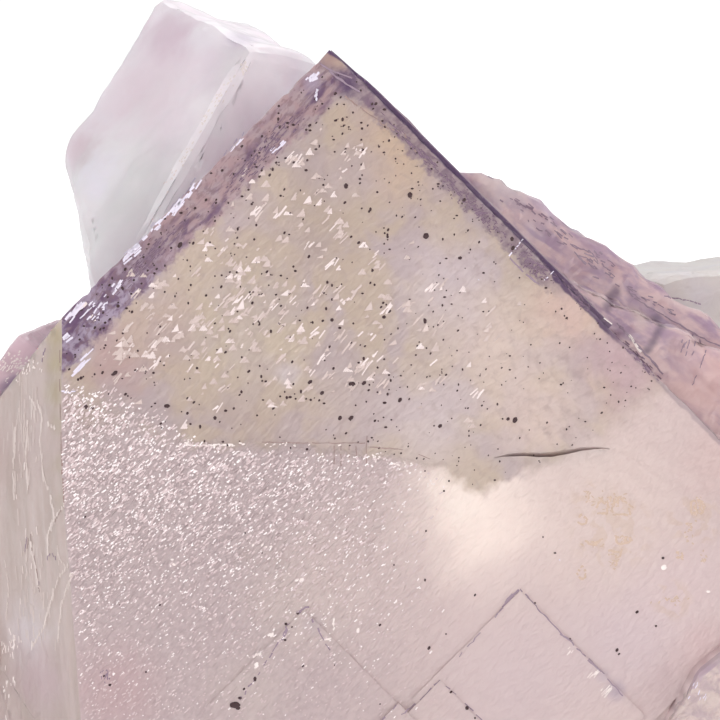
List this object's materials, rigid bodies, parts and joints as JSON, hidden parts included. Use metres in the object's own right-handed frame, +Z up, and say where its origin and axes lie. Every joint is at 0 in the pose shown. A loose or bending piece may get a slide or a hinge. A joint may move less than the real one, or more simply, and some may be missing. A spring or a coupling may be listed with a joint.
{
  "type": "fluorite crystal group",
  "caption": "Grown-together fluorite cubes, the largest with a square face to the front and one corner cleaved on an octahedral plane, broken off flat below to stand on a shelf.",
  "frame": {"origin": "on the flat base, below the middle of the group", "axes": "+Z up, -Y towards the front, the side of the large cube's square face"},
  "size_m": [0.0876, 0.0774, 0.0587],
  "materials": {
    "fluorite": "translucent, glassy to frosted"
  },
  "bodies": {
    "root": {"fluorite_crystal_group": "fluorite"}
  },
  "joints": []
}
